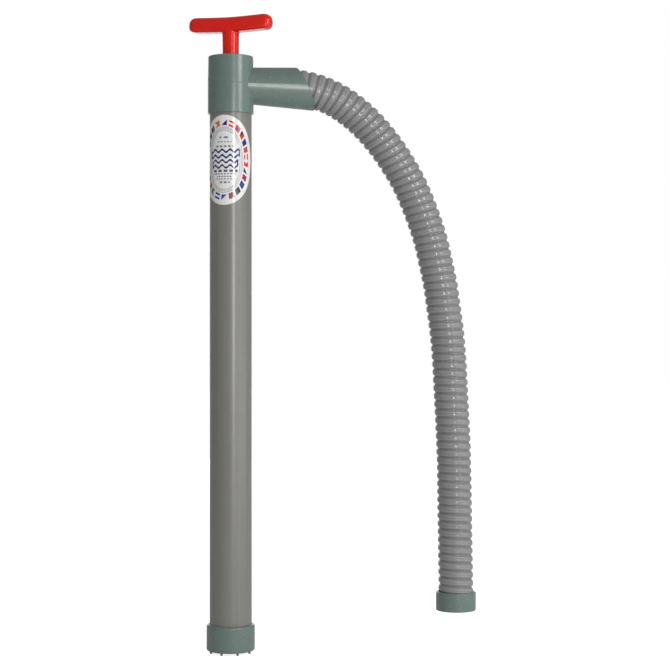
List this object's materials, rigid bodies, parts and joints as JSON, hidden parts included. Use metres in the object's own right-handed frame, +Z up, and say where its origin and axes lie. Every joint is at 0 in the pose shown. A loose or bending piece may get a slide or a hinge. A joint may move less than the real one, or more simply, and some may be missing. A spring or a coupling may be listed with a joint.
{
  "type": "hand bilge pump",
  "caption": "Hand-operated bilge pump: straight barrel, valved foot, tee head with slanted spout, T-handled lift plunger and hanging corrugated discharge hose.",
  "frame": {"origin": "on the barrel's axis at the foot cap's bottom face, where the inlet opens; the standing nubs reach 2.5 mm below it", "axes": "+Z up along the barrel towards the T-handle, +X along the spout towards its mouth"},
  "size_m": [0.2942, 0.0542, 0.6365],
  "materials": {
    "barrel_pvc": "satin extruded pipe",
    "moulded_teal": "satin injection moulding",
    "red_handle": "semi-gloss injection moulding",
    "hose_pvc": "glossy corrugated vinyl",
    "rod_pvc": "satin pipe",
    "white_nylon": "satin moulding",
    "black_rubber": "matt",
    "stainless_steel": "turned",
    "label_vinyl": "glossy printed vinyl"
  },
  "bodies": {
    "pump": {"barrel": "barrel_pvc", "head": "moulded_teal", "head_cap": "moulded_teal", "cap_gasket": "black_rubber", "rod_wiper": "black_rubber", "gland_ring": "stainless_steel", "foot_cap": "moulded_teal", "inlet_strainer": "moulded_teal", "seat_gasket": "black_rubber", "foot_valve_seat": "white_nylon", "foot_valve_stop": "stainless_steel", "foot_valve_screw": "stainless_steel", "label": "label_vinyl", "discharge_hose": "hose_pvc", "hose_cuff": "moulded_teal"},
    "foot_valve": {"foot_valve_disc": "black_rubber"},
    "piston_seal": {"piston_ring": "black_rubber"},
    "plunger": {"plunger_rod": "rod_pvc", "t_handle": "red_handle", "handle_pin": "stainless_steel", "piston_body": "white_nylon", "piston_pin": "stainless_steel", "piston_plate": "white_nylon", "piston_screw": "stainless_steel", "piston_valve_stop": "white_nylon", "rod_bumper": "black_rubber"},
    "piston_valve": {"piston_valve_disc": "black_rubber"}
  },
  "joints": [
    {"name": "plunger_slide", "type": "slide", "parent": "pump", "child": "piston_seal", "axis": [0, 0, 1], "range_m": [0, 0.507]},
    {"name": "plunger_turn", "type": "hinge", "parent": "piston_seal", "child": "plunger", "pos_m": [0, 0, 0], "axis": [0, 0, 1], "continuous": true},
    {"name": "foot_valve_lift", "type": "slide", "parent": "pump", "child": "foot_valve", "axis": [0, 0, 1], "range_m": [0, 0.003]},
    {"name": "piston_valve_lift", "type": "slide", "parent": "plunger", "child": "piston_valve", "axis": [0, 0, 1], "range_m": [0, 0.003]}
  ]
}
